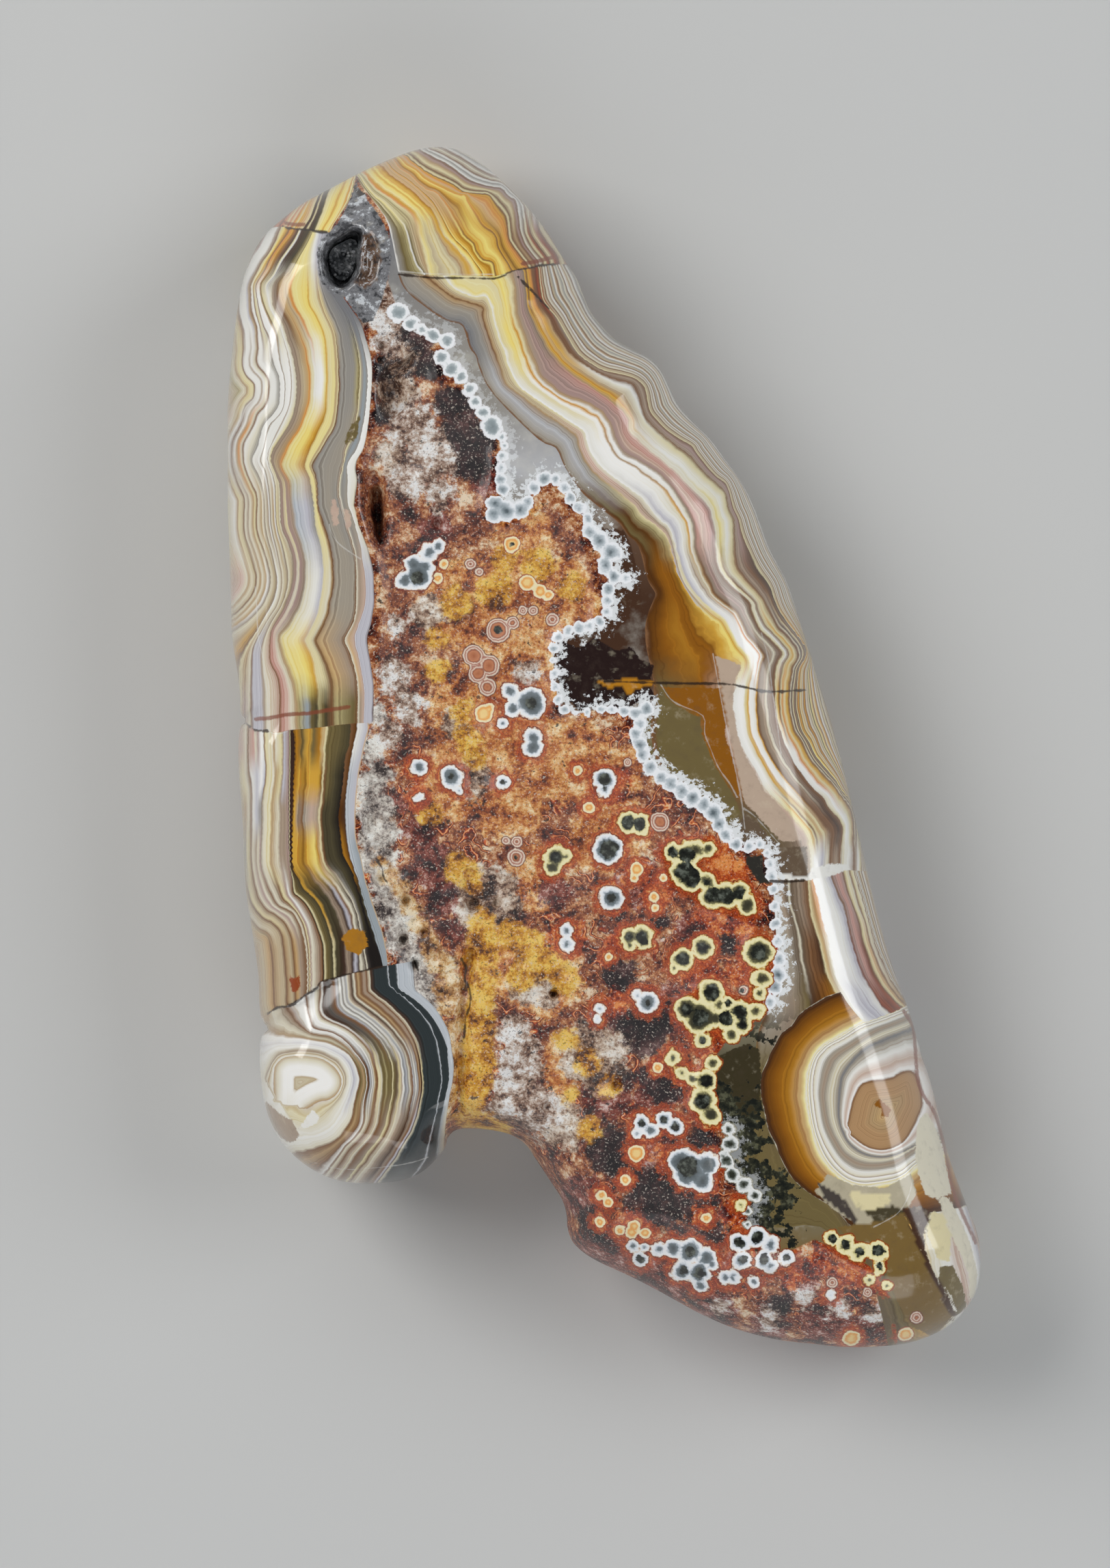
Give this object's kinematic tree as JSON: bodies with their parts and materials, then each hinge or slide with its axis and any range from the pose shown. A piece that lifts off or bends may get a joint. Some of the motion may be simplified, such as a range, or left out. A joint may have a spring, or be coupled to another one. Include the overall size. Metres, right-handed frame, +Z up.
{
  "type": "polished laguna agate",
  "caption": "Polished freeform agate slab: fine banded chalcedony round a rough ringed jasper core, with a bay between two lobes and a crystal pit.",
  "frame": {"origin": "centre of the outline's box, on the flat ground base", "axes": "+Z up through the polished face, +Y towards the narrow top, +X to the right of the face as the picture shows it"},
  "size_m": [0.0686, 0.1095, 0.022],
  "materials": {
    "banded_agate": "polished",
    "vug_quartz": "clear crystals"
  },
  "bodies": {
    "root": {"agate": "banded_agate", "vug_crystals": "vug_quartz"}
  },
  "joints": []
}
